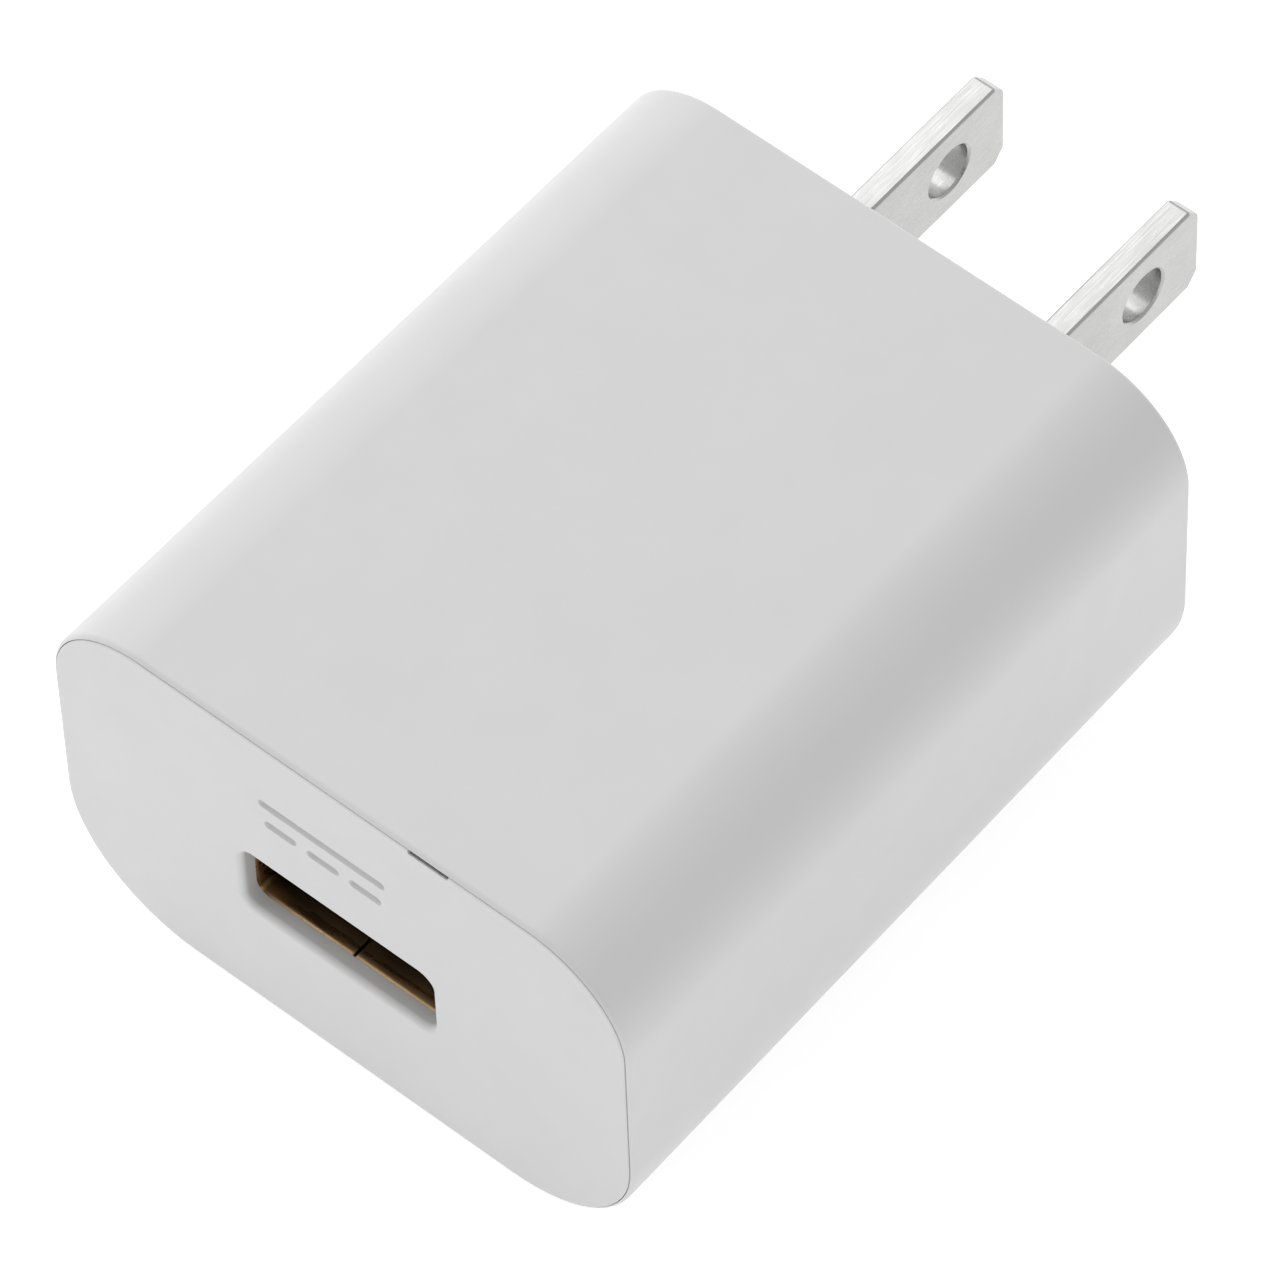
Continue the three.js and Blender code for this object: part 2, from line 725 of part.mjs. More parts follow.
const undersideParts = [
  { name: 'bridge_rectifier', x: -7, y: -13.8, length: 4.7, width: 3.9, height: 2.5, leads: 2, reach: 0.9 },
  { name: 'controller_chip', x: -6.5, y: -23.2, length: 4.9, width: 3.9, height: 1.5, leads: 4, reach: 1 },
  { name: 'optocoupler', x: 9.5, y: -21.5, length: 4.4, width: 4.2, height: 2, leads: 2, reach: 1 },
  { name: 'output_diode', x: 2, y: -32.6, length: 4.6, width: 3.6, height: 2.2, leads: 1, reach: 0.9 },
];
const chipParts = [
  { name: 'snubber_resistor', x: 1.5, y: -21.5 },
  { name: 'snubber_capacitor', x: 4.5, y: -21.5 },
];

undersideParts.forEach(({ name, x, y, length, width, height, leads, reach }) => {
  addPart(name, leadedPackage(length, width, height, leads, reach), blackPlastic,
    placedGroup(x, y, underSeat));
});
chipParts.forEach(({ name, x, y }) => {
  addPart(name, box(1.6, 3.2, 0.9, 0, 0, -0.45), name.endsWith('resistor') ? blackPlastic : clearFilm,
    placedGroup(x, y, underSeat));
});

function insulationSheet() {
  const zLow = -bodyHeight / 2 + wall + 0.2;
  return span([-10, boardFront + 2, zLow], [10, boardBack - 1, zLow + 0.2]);
}

addPart('insulation_sheet', insulationSheet(), clearFilm);

// ---------------------------------------------------------------- main board

function boardHoles() {
  const places = [
    ...leadHoles,
    ...shellLegs.map(({ x, y }) => [x, y, 0.9]),
    ...contactOffsets.map((offset) => [portX + offset, tailDropY + contactSheet / 2, 0.65]),
    ...transformerPinPlaces().map(([x, y]) => [transformerX + x, transformerY + y, pinRadius + fit]),
    ...capacitors.flatMap(({ x, y }) => [-1, 1].map(
      (side) => [x, y + side * capacitorLeadOffset, pinRadius + fit],
    )),
    ...[-1, 1].map((side) => [resistorPlace.x + side * resistorPlace.lead, resistorPlace.y, pinRadius + fit]),
    ...[-1, 1].map((side) => [discPlace.x, discPlace.y + side * discPlace.lead, pinRadius + fit]),
  ];
  return places.map(([x, y, radius]) => rod(radius, boardBottom - overrun, boardTop + overrun, x, y, 12));
}

function mainBoard() {
  const plate = span([-boardWidth / 2, boardFront, boardBottom], [boardWidth / 2, boardBack, boardTop]);
  const creepageSlot = box(9, 1, 3 * boardThickness, transformerX, transformerY, boardTop);
  return cut(plate, [creepageSlot, ...boardHoles()]);
}

addPart('main_board', mainBoard(), boardGreen);

export default group;
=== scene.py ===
import math

import bmesh
import bpy
from mathutils import Matrix, Vector


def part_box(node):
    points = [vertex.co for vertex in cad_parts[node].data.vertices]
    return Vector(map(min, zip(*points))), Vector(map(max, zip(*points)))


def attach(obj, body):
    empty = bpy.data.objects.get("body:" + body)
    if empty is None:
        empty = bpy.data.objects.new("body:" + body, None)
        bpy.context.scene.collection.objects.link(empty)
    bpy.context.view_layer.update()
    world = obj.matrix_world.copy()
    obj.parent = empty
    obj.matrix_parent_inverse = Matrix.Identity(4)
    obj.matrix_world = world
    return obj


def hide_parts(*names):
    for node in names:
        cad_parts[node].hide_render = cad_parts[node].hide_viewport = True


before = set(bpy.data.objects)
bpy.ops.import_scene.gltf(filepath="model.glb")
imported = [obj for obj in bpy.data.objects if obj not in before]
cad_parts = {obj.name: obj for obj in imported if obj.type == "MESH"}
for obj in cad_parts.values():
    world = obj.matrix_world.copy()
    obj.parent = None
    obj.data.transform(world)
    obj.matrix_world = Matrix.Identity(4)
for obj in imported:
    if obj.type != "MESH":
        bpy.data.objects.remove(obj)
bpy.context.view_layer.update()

MM = 0.001
ROOT = "charger"
TOLERANCE = 1e-6

# ------------------------------------------------------------------ sizes, in millimetres


def node_span(name):
    """Lowest and highest corners of a CAD node, in millimetres."""
    low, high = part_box(name)
    return Vector(low) / MM, Vector(high) / MM


body_low, body_high = node_span("housing_shell")
BODY_WIDTH = body_high.x - body_low.x
BODY_HEIGHT = body_high.z - body_low.z
BODY_LENGTH = body_high.y - body_low.y
FACE_Y = body_low.y
TOP_RADIUS = 6.1
BOTTOM_RADIUS = 8.0
SMALLEST_RADIUS = 0.05
DRAFT = 0.6 / 37.0  # share of the width lost from the USB face to the plug face
WALL = 2.0
PLUG_WALL = 2.2
EDGE_ROUND = 0.4  # round of the USB end, shared by the housing rim and the cap
RIM = 0.2
SEAM_GAP = 0.025
CAP_INSET = RIM + SEAM_GAP
LIP_DEPTH = 0.45
LIP_SLOPE = 0.3
RIM_EDGE = ((0.0, 0.11), (0.01, 0.085))  # steps outwards from the rim, and their depths
CAP_EDGE = ((0.012, 0.04), (0.0, 0.08))  # steps inwards from the cap's side, and their depths
INNER_CORNER = ((0.0, 0.6), (0.18, 0.18), (0.6, 0.0))  # across and along, at the plug wall
SEAT_INSET = 0.45
SEAT_DEPTH = 1.85
SEAT_GAP = 0.05
CAP_THICKNESS = 1.6
SKIRT_INSET = (WALL + 0.25, WALL + 1.45)
SKIRT_DEPTH = 5.4
SKIRT_CHAMFER = 0.3
BACK_FILLET = 0.3

# The short slit in the top seam
SLOT_X = (4.95, 7.35)
SLOT_SLOPE = (0.08, 0.12)
SLOT_DEPTH = 0.24
SLOT_UNDERCUT = 0.8
SLOT_LIP = 0.08
SLOT_REACH = LIP_DEPTH + 0.4

blade_low, blade_high = node_span("blade_right")
BLADE_X = (blade_low.x + blade_high.x) / 2
BLADE_THICKNESS = blade_high.x - blade_low.x
BLADE_Z = (blade_low.z + blade_high.z) / 2
BLADE_WIDTH = blade_high.z - blade_low.z
BLADE_BEVEL = 0.11
TIP_CUT = (0.75, 0.85)
BEVEL_SOFTEN = 0.05
TAIL_HALF = 2.1
SHOULDER_Y = -PLUG_WALL - 2.0
HOLE_FROM_TIP = 4.5
HOLE_RADIUS = 1.6
HOLE_BEVEL = 0.12
HOLE_SOFTEN = 0.04
BLADE_SLOT_RADIUS = 0.12
BLADE_SLOT_GAP = 0.08
BLADE_SLOT_CHAMFER = 0.08

PORT_X = -0.4
PORT_Z = -1.3
APERTURE = (12.4, 4.68)
APERTURE_RADIUS = 0.85
APERTURE_ROUND = 0.4
APERTURE_DEPTH = 1.0
POCKET = (13.7, 6.32)
POCKET_RADIUS = 0.8

# The engraved mark: strokes of round-ended grooves
MARK_X = (-5.0, 3.2)
MARK_Z = (6.75, 5.15)
MARK_DASHES = 3
MARK_GAP = 0.3
# Shrink, radius and depth of each ring of a groove
GROOVE_STEPS = ((0.0, 0.31, 0.0), (0.03, 0.28, 0.02), (0.1, 0.21, 0.2), (0.16, 0.14, 0.26))

# The receptacle shell: its inside width and height, and the windows of its latch springs
SHELL_FRONT = node_span("usb_shell")[0].y
SHELL_BACK = node_span("usb_shell")[1].y
SHELL_LOW = node_span("usb_shell")[0].z
INNER = (12.5, 5.12)
SHEET = 0.3
SHELL_RADIUS = 0.45
SHELL_ARC = 6
LIP_FLARE = ((0.03, 0.09), (0.13, 0.03), (0.26, 0.0))  # depth and flare of each row at the mouth
LATCH_X = 3.2
LATCH_WIDTH = 2.1
LATCH_Y = (SHELL_FRONT + 1.5, SHELL_FRONT + 5.8)
LATCH_MIDDLE = 1.5
WINDOW_SLACK = 0.05
SHELL_BACK_ROWS = (5, 2.5, 0.1)
SEAM_HALF = 0.07
SHELL_BEVEL = 0.05
LEG_PLACES = (7.2, 10.8)
LEG_HALF = 0.6
LEG_TIP_HALF = 0.3
LEG_TIP = 0.5
LEG_TOP = PORT_Z - 1.9
PAINTED_SHADE_Y = (0.1, 1.9)  # depth over which painted shade darkens the shell's colour from light to dark

# ------------------------------------------------------------------ outline helpers


def rounded_outline(width, height, top_radius, bottom_radius, x=0.0, z=0.0, arc=16, side=6):
    """Points of a rounded rectangle in X and Z, the same count for any size."""
    corners = (
        (width / 2 - bottom_radius, -height / 2 + bottom_radius, bottom_radius, -90),
        (width / 2 - top_radius, height / 2 - top_radius, top_radius, 0),
        (-width / 2 + top_radius, height / 2 - top_radius, top_radius, 90),
        (-width / 2 + bottom_radius, -height / 2 + bottom_radius, bottom_radius, 180),
    )
    points = []
    for centre_x, centre_z, radius, start in corners:
        for i in range(arc + 1):
            angle = math.radians(start + 90 * i / arc)
            point_x = x + centre_x + radius * math.cos(angle)
            point_z = z + centre_z + radius * math.sin(angle)
            points.append((point_x, point_z))
    if side:
        points = with_side_points(points, arc + 1, side)
    return points


def with_side_points(points, per_corner, side):
    """Adds evenly spaced points along the straight run after each corner."""
    result = []
    count = len(points)
    for corner in range(4):
        first = corner * per_corner
        result += points[first:first + per_corner]
        ax, az = points[first + per_corner - 1]
        bx, bz = points[(first + per_corner) % count]
        for i in range(1, side):
            share = i / side
            result.append((ax + (bx - ax) * share, az + (bz - az) * share))
    return result


def body_outline(inset, **steps):
    return rounded_outline(
        BODY_WIDTH - 2 * inset, BODY_HEIGHT - 2 * inset,
        max(TOP_RADIUS - inset, SMALLEST_RADIUS), max(BOTTOM_RADIUS - inset, SMALLEST_RADIUS), **steps,
    )


def body_ring(inset, y, **steps):
    """A ring of 3-D points around the body, narrowed by the moulding draft at its place along Y."""
    scale = 1 - DRAFT * (y - FACE_Y) / BODY_LENGTH
    return [(px * scale, y, pz) for px, pz in body_outline(inset, **steps)]


def flat_ring(outline, y):
    return [(px, y, pz) for px, pz in outline]


def back_fillet(steps):
    """(inset, y) pairs of the quarter round from the side walls to the plug face."""
    pairs = []
    for i in range(steps + 1):
        angle = math.pi / 2 * i / steps
        pairs.append((BACK_FILLET * (1 - math.cos(angle)), BACK_FILLET * (math.sin(angle) - 1)))
    return pairs


# ------------------------------------------------------------------ mesh helpers


def add_loop(bm, points):
    return [bm.verts.new(point) for point in points]


def bridge(bm, loop_a, loop_b):
    """Quads between two loops of the same count."""
    count = len(loop_a)
    for i in range(count):
        j = (i + 1) % count
        bm.faces.new((loop_a[i], loop_a[j], loop_b[j], loop_b[i]))


def loft(bm, rings):
    """A tube of quads through rings of points; returns its first and last loops."""
    loops = [add_loop(bm, points) for points in rings]
    for loop_a, loop_b in zip(loops, loops[1:]):
        bridge(bm, loop_a, loop_b)
    return loops[0], loops[-1]


def flat_layer(bm):
    """The face layer that marks flat faces, whose normals their neighbours follow."""
    return bm.faces.layers.int.get("flat") or bm.faces.layers.int.new("flat")


def fill(bm, *loops):
    """A flat face bounded by the loops: the first is the outside and the rest are holes."""
    layer = flat_layer(bm)
    edges = []
    for loop in loops:
        for i, vert in enumerate(loop):
            other = loop[(i + 1) % len(loop)]
            edges.append(bm.edges.get((vert, other)) or bm.edges.new((vert, other)))
    made = bmesh.ops.triangle_fill(bm, edges=edges, use_beauty=True, use_dissolve=False)["geom"]
    for face in made:
        if isinstance(face, bmesh.types.BMFace):
            face[layer] = 1


def fans(vert):
    """The faces around a vertex, grouped by the smooth edges between them."""
    groups = {face: {face} for face in vert.link_faces}
    for edge in vert.link_edges:
        if edge.smooth and len(edge.link_faces) == 2:
            first, second = (groups[face] for face in edge.link_faces)
            if first is not second:
                first |= second
                for face in second:
                    groups[face] = first
    return {id(group): group for group in groups.values()}.values()


def corner_normals(bm):
    """Normals by face corner: a smooth fan takes its flat faces' normal, or its area-weighted mean."""
    layer = flat_layer(bm)
    normals = {}
    for vert in bm.verts:
        for group in fans(vert):
            leading = [face for face in group if face[layer]] or group
            total = sum((face.normal * face.calc_area() for face in leading), Vector())
            for face in group:
                normals[face.index, vert.index] = total.normalized()
    return [normals[face.index, vert.index] for face in bm.faces for vert in face.verts]


def finish_mesh(name, bm, body=ROOT, sharp_degrees=35.0, own_normals=True):
    """Turns a bmesh in millimetres into a smooth-shaded piece riding on a body."""
    bmesh.ops.remove_doubles(bm, verts=bm.verts, dist=1e-5)
    bmesh.ops.recalc_face_normals(bm, faces=bm.faces)
    limit = math.radians(sharp_degrees)
    for face in bm.faces:
        face.smooth = True
    for edge in bm.edges:
        edge.smooth = len(edge.link_faces) == 2 and edge.calc_face_angle(0.0) < limit
    bm.verts.index_update()
    bm.faces.index_update()
    normals = corner_normals(bm) if own_normals else None
    bmesh.ops.scale(bm, vec=(MM, MM, MM), verts=bm.verts)
    mesh = bpy.data.meshes.new(name)
    bm.to_mesh(mesh)
    bm.free()
    if own_normals:
        mesh.normals_split_custom_set(normals)
    piece = bpy.data.objects.new(name, mesh)
    bpy.context.scene.collection.objects.link(piece)
    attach(piece, body)
    return piece


def add_bevel(piece, width_mm, degrees):
    """Rounds the edges that turn by more than an angle."""
    bevel = piece.modifiers.new("edges", "BEVEL")
    bevel.width = width_mm * MM
    bevel.segments = 2
    bevel.limit_method = "ANGLE"
    bevel.angle_limit = math.radians(degrees)


def dress(piece, material):
    piece.data.materials.clear()
    piece.data.materials.append(material)


# ------------------------------------------------------------------ material helpers


class Nodes:
    """Short calls for building one material's node tree."""

    def __init__(self, name, color, roughness, metallic=0.0):
        self.material = bpy.data.materials.new(name)
        self.material.use_nodes = True
        self.tree = self.material.node_tree
        self.shader = self.tree.nodes["Principled BSDF"]
        self.shader.inputs["Base Color"].default_value = (*color, 1.0)
        self.shader.inputs["Roughness"].default_value = roughness
        self.shader.inputs["Metallic"].default_value = metallic
        self.coords = self.add("ShaderNodeTexCoord").outputs["Object"]

    def add(self, kind, **settings):
        node = self.tree.nodes.new(kind)
        for key, value in settings.items():
            setattr(node, key, value)
        return node

    def link(self, source, target):
        self.tree.links.new(source, target)

    def stretched(self, scale):
        mapping = self.add("ShaderNodeMapping")
        mapping.inputs["Scale"].default_value = scale
        self.link(self.coords, mapping.inputs["Vector"])
        return mapping.outputs["Vector"]

    def noise(self, size_mm, detail=3.0, roughness=0.5, stretch=(1, 1, 1)):
        noise = self.add("ShaderNodeTexNoise")
        noise.inputs["Scale"].default_value = 1.0 / (size_mm * MM)
        noise.inputs["Detail"].default_value = detail
        noise.inputs["Roughness"].default_value = roughness
        self.link(self.stretched(stretch), noise.inputs["Vector"])
        return noise.outputs["Fac"]

    def ramp(self, source, low, high):
        """Maps the middle of a 0 to 1 value, 0.3 to 0.7, to low to high."""
        mapped = self.add("ShaderNodeMapRange")
        mapped.inputs["From Min"].default_value = 0.3
        mapped.inputs["From Max"].default_value = 0.7
        mapped.inputs["To Min"].default_value = low
        mapped.inputs["To Max"].default_value = high
        self.link(source, mapped.inputs["Value"])
        return mapped.outputs["Result"]

    def vary_color(self, source, dark, light):
        mix = self.add("ShaderNodeMix", data_type="RGBA")
        color_a, color_b = [s for s in mix.inputs if s.type == "RGBA"]
        color_a.default_value = (*dark, 1.0)
        color_b.default_value = (*light, 1.0)
        self.link(self.ramp(source, 0.0, 1.0), mix.inputs[0])
        self.link([s for s in mix.outputs if s.type == "RGBA"][0], self.shader.inputs["Base Color"])

    def vary_roughness(self, source, low, high):
        self.link(self.ramp(source, low, high), self.shader.inputs["Roughness"])

    def bump(self, source, height_mm, strength=1.0):
        bump = self.add("ShaderNodeBump")
        bump.inputs["Strength"].default_value = strength
        bump.inputs["Distance"].default_value = height_mm * MM
        self.link(source, bump.inputs["Height"])
        self.link(bump.outputs["Normal"], self.shader.inputs["Normal"])


def moulded_plastic(name, dark, light, roughness, grain_mm=0.12, grain_height=0.0012):
    n = Nodes(name, light, roughness)
    n.vary_color(n.noise(7.0, 2.0), dark, light)
    n.vary_roughness(n.noise(1.6, 3.0), roughness - 0.04, roughness + 0.05)
    n.bump(n.noise(grain_mm, 2.0), grain_height, 0.6)
    return n.material


def plated_metal(name, dark, light, roughness, streak=(14, 0.6, 14), streak_mm=1.4, height=0.0015):
    """Rolled or stamped metal with fine streaks along Y and a slightly mottled finish."""
    n = Nodes(name, light, roughness, 1.0)
    n.vary_color(n.noise(2.5, 4.0), dark, light)
    streaks = n.noise(streak_mm, 4.0, 0.6, streak)
    n.vary_roughness(streaks, roughness - 0.06, roughness + 0.1)
    n.bump(streaks, height, 0.5)
    return n.material


def receptacle_metal_with_painted_shade(dark, light, roughness):
    """Brown-gold plating on the receptacle shell, with painted shade that makes it darker with depth behind
    its front edge.
    """
    n = Nodes("shell_steel", light, roughness, 1.0)
    axes = n.add("ShaderNodeSeparateXYZ")
    n.link(n.coords, axes.inputs["Vector"])
    # Painted shade: the base colour runs from light at the shell's front edge to near black deeper in,
    # standing in for shadow inside the port.
    depth = n.add("ShaderNodeMapRange")
    depth.inputs["From Min"].default_value = (SHELL_FRONT + PAINTED_SHADE_Y[0]) * MM
    depth.inputs["From Max"].default_value = (SHELL_FRONT + PAINTED_SHADE_Y[1]) * MM
    depth.inputs["To Min"].default_value = 0.7
    depth.inputs["To Max"].default_value = 0.3
    n.link(axes.outputs["Y"], depth.inputs["Value"])
    n.vary_color(depth.outputs["Result"], dark, light)
    streaks = n.noise(2.0, 1.0, 0.4, (0.5, 5, 5))
    n.vary_roughness(streaks, roughness - 0.08, roughness + 0.1)
    n.bump(streaks, 0.0003, 0.3)
    return n.material


def coated(name, dark, light, roughness, patch_mm, grain_mm, height, stretch=(1, 1, 1), metallic=0.0):
    n = Nodes(name, light, roughness, metallic)
    n.vary_color(n.noise(patch_mm, 4.0, 0.6, stretch), dark, light)
    n.vary_roughness(n.noise(patch_mm * 0.6, 3.0), roughness - 0.05, roughness + 0.08)
    n.bump(n.noise(grain_mm, 3.0, 0.6, stretch), height, 0.7)
    return n.material


WHITE = moulded_plastic("white_plastic", (0.632, 0.632, 0.632), (0.644, 0.644, 0.644), 0.45)
NICKEL = plated_metal("nickel_plate", (0.44, 0.44, 0.436), (0.49, 0.49, 0.486), 0.28)
TIN = plated_metal("tin_plate", (0.55, 0.56, 0.57), (0.72, 0.73, 0.74), 0.34, (6, 6, 6), 0.6)
# The shell's dark colour is painted shade deep in the port; its light colour is the brown-gold plating.
SHELL_STEEL_WITH_PAINTED_SHADE = receptacle_metal_with_painted_shade((0.06, 0.038, 0.02), (0.56, 0.39, 0.21), 0.3)
GOLD = plated_metal("gold_plate", (0.72, 0.50, 0.20), (0.86, 0.65, 0.31), 0.22, (10, 0.8, 10), 0.8)
BLACK = moulded_plastic("black_plastic", (0.012, 0.012, 0.013), (0.03, 0.03, 0.032), 0.42, 0.1, 0.002)
BOBBIN = moulded_plastic("bobbin_plastic", (0.018, 0.015, 0.013), (0.04, 0.034, 0.03), 0.5, 0.15, 0.003)
FERRITE = coated("ferrite", (0.03, 0.031, 0.033), (0.075, 0.078, 0.082), 0.68, 1.2, 0.09, 0.006)
COPPER = plated_metal("copper_wire", (0.42, 0.14, 0.05), (0.66, 0.27, 0.11), 0.3, (1, 1, 1), 0.4, 0.001)
TAPE = coated("yellow_tape", (0.62, 0.42, 0.03), (0.76, 0.56, 0.07), 0.34, 2.4, 0.5, 0.004)
SLEEVE = coated("can_sleeve", (0.012, 0.015, 0.022), (0.03, 0.036, 0.05), 0.3, 3.0, 0.6, 0.002)
RUBBER = coated("rubber_bung", (0.010, 0.010, 0.010), (0.028, 0.027, 0.026), 0.78, 0.6, 0.08, 0.005)
RESISTOR = coated("resistor_coat", (0.15, 0.36, 0.22), (0.25, 0.49, 0.33), 0.55, 0.8, 0.12, 0.008)
CERAMIC = coated("ceramic_blue", (0.015, 0.10, 0.32), (0.035, 0.18, 0.46), 0.4, 1.6, 0.3, 0.012)
FILM = coated("clear_film", (0.62, 0.58, 0.46), (0.76, 0.73, 0.62), 0.28, 4.0, 0.8, 0.003)


def board_material():
    """Green solder mask over copper pours, with a faint weave."""
    n = Nodes("board_green", (0.01, 0.12, 0.04), 0.4)
    cells = n.add("ShaderNodeTexVoronoi", distance="CHEBYCHEV")
    cells.inputs["Scale"].default_value = 260.0
    n.link(n.coords, cells.inputs["Vector"])
    n.vary_color(cells.outputs["Distance"], (0.006, 0.075, 0.028), (0.02, 0.17, 0.06))
    weave = n.add("ShaderNodeTexWave", bands_direction="X")
    weave.inputs["Scale"].default_value = 900.0
    n.link(n.coords, weave.inputs["Vector"])
    n.bump(weave.outputs["Fac"], 0.006, 0.4)
    n.vary_roughness(n.noise(1.5), 0.34, 0.46)
    return n.material


BOARD = board_material()

# ------------------------------------------------------------------ housing


def slot_outline(side, clearance):
    half_x = BLADE_THICKNESS / 2 + clearance
    half_z = BLADE_WIDTH / 2 + clearance
    x = side * BLADE_X
    radius = BLADE_SLOT_RADIUS
    return rounded_outline(2 * half_x, 2 * half_z, radius, radius, x, BLADE_Z, arc=3, side=0)


def plug_wall(bm, outer_loop, inner_loop, y_outer, y_inner):
    """The plug face and the wall's inner side, with a walled slot for each blade."""
    outer_holes, inner_holes = [], []
    for side in (-1, 1):
        rings = [
            flat_ring(slot_outline(side, BLADE_SLOT_GAP + BLADE_SLOT_CHAMFER), y_outer),
            flat_ring(slot_outline(side, BLADE_SLOT_GAP), y_outer - BLADE_SLOT_CHAMFER),
            flat_ring(slot_outline(side, BLADE_SLOT_GAP), y_inner),
        ]
        mouth, end = loft(bm, rings)
        outer_holes.append(mouth)
        inner_holes.append(end)
    fill(bm, outer_loop, *outer_holes)
    fill(bm, inner_loop, *inner_holes)


def edge_round(from_degrees, to_degrees, steps):
    """(inset, y) pairs along the rounded edge of the USB end; 0 degrees faces -Y and 90 outwards."""
    pairs = []
    for i in range(steps + 1):
        angle = math.radians(from_degrees + (to_degrees - from_degrees) * i / steps)
        pairs.append((EDGE_ROUND * (1 - math.sin(angle)), FACE_Y + EDGE_ROUND * (1 - math.cos(angle))))
    return pairs


def build_housing():
    bm = bmesh.new()
    profile = [
        (SEAT_INSET, FACE_Y + SEAT_DEPTH),
        (SEAT_INSET, FACE_Y + LIP_DEPTH + LIP_SLOPE),
        (RIM, FACE_Y + LIP_DEPTH),
    ]
    profile += [(RIM - outwards, FACE_Y + depth) for outwards, depth in RIM_EDGE]
    profile += edge_round(35, 90, 6)
    y_steps = 8
    first_y, last_y = FACE_Y + EDGE_ROUND, -BACK_FILLET
    profile += [(0.0, first_y + (last_y - first_y) * k / y_steps) for k in range(1, y_steps)]
    profile += back_fillet(6)
    _, back_loop = loft(bm, [body_ring(inset, y) for inset, y in profile])
    inner = [(SEAT_INSET, FACE_Y + SEAT_DEPTH), (WALL, FACE_Y + SEAT_DEPTH)]
    inner += [(WALL + across, -PLUG_WALL - along) for across, along in INNER_CORNER]
    _, inner_back = loft(bm, [body_ring(inset, y) for inset, y in inner])
    plug_wall(bm, back_loop, inner_back, 0.0, -PLUG_WALL)
    piece = finish_mesh("housing", bm)
    dress(piece, WHITE)
    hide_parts("housing_shell")


build_housing()

# ------------------------------------------------------------------ front cap


def slot_depth(inset, y):
    """How far the short slit cuts into the top edge: a step at the front, then a sloping undercut."""
    if y >= FACE_Y + SLOT_REACH:
        return 0.0
    undercut = SLOT_UNDERCUT * max(y - FACE_Y - SLOT_LIP, 0.0)
    return max(SLOT_DEPTH - (inset - CAP_INSET), 0.0) + undercut


def notched(ring, depth):
    """Lowers the top edge of a ring over the width of the slit, with short sloping ends."""
    top = max(point[2] for point in ring)
    low_x, high_x = SLOT_X
    result = []
    for point, following in zip(ring, ring[1:] + ring[:1]):
        result.append(point)
        level = abs(point[2] - top) < TOLERANCE and abs(following[2] - top) < TOLERANCE
        if level and following[0] < low_x < high_x < point[0]:
            y = point[1]
            result += [(high_x + SLOT_SLOPE[1], y, top), (high_x, y, top - depth)]
            result += [(low_x, y, top - depth), (low_x - SLOT_SLOPE[0], y, top)]
    return result


def capsule(x_low, x_high, z, radius, steps=8):
    """A slot outline with round ends, level along X."""
    points = []
    for centre, start in ((x_high - radius, -90), (x_low + radius, 90)):
        for i in range(steps + 1):
            angle = math.radians(start + 180 * i / steps)
            points.append((centre + radius * math.cos(angle), z + radius * math.sin(angle)))
    return points


def mark_strokes():
    """The engraved mark: one long stroke over three short ones, the plain sign for direct current."""
    left, right = MARK_X
    top, bottom = MARK_Z
    dash = (right - left) / MARK_DASHES
    strokes = [(left, right, top)]
    for k in range(MARK_DASHES):
        strokes.append((left + k * dash + MARK_GAP, left + (k + 1) * dash - MARK_GAP, bottom))
    return strokes


def groove(bm, x_low, x_high, z):
    """A shallow engraved stroke; returns the loop that opens in the face."""
    rings = []
    for shrink, radius, depth in GROOVE_STEPS:
        rings.append(flat_ring(capsule(x_low + shrink, x_high - shrink, z, radius), FACE_Y + depth))
    mouth, floor = loft(bm, rings)
    fill(bm, floor)
    return mouth


def port_outline(width, height, radius):
    return rounded_outline(width, height, radius, radius, PORT_X, PORT_Z, arc=10, side=4)


def aperture_outline(grow):
    return port_outline(APERTURE[0] + 2 * grow, APERTURE[1] + 2 * grow, APERTURE_RADIUS + grow)


def opening(bm, back_y):
    """The USB opening: a rounded lip, a straight wall, and a wider pocket behind for the receptacle."""
    rings = []
    steps = 5
    for i in range(steps + 1):
        angle = math.pi / 2 * i / steps
        grow = APERTURE_ROUND * (1 - math.sin(angle))
        rings.append(flat_ring(aperture_outline(grow), FACE_Y + APERTURE_ROUND * (1 - math.cos(angle))))
    shoulder_y = FACE_Y + APERTURE_DEPTH
    pocket = port_outline(*POCKET, POCKET_RADIUS)
    rings.append(flat_ring(aperture_outline(0.0), shoulder_y))
    rings.append(flat_ring(pocket, shoulder_y))
    rings.append(flat_ring(pocket, back_y))
    return loft(bm, rings)


def build_cap():
    """A plate that shares the housing's rounded edge, with a skirt behind it that plugs into the housing."""
    bm = bmesh.new()
    back_y = FACE_Y + CAP_THICKNESS
    skirt_y = FACE_Y + SKIRT_DEPTH
    skirt_out, skirt_in = SKIRT_INSET
    profile = edge_round(0, 20, 3)
    profile += [(CAP_INSET + inwards, FACE_Y + depth) for inwards, depth in CAP_EDGE]
    profile += [
        (CAP_INSET, FACE_Y + LIP_DEPTH),
        (SEAT_INSET + SEAT_GAP, FACE_Y + LIP_DEPTH + LIP_SLOPE),
        (SEAT_INSET + SEAT_GAP, back_y),
        (skirt_out, back_y),
        (skirt_out, skirt_y - SKIRT_CHAMFER),
        (skirt_out + SKIRT_CHAMFER, skirt_y),
        (skirt_in, skirt_y),
        (skirt_in, back_y),
    ]
    rings = [notched(body_ring(inset, y, side=0), slot_depth(inset, y)) for inset, y in profile]
    face_loop, back_loop = loft(bm, rings)
    mouth, pocket_loop = opening(bm, back_y)
    grooves = [groove(bm, *stroke) for stroke in mark_strokes()]
    fill(bm, face_loop, mouth, *grooves)
    fill(bm, back_loop, pocket_loop)
    piece = finish_mesh("usb_face_cap", bm)
    dress(piece, WHITE)
    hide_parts("front_cap")


build_cap()

# ------------------------------------------------------------------ blades


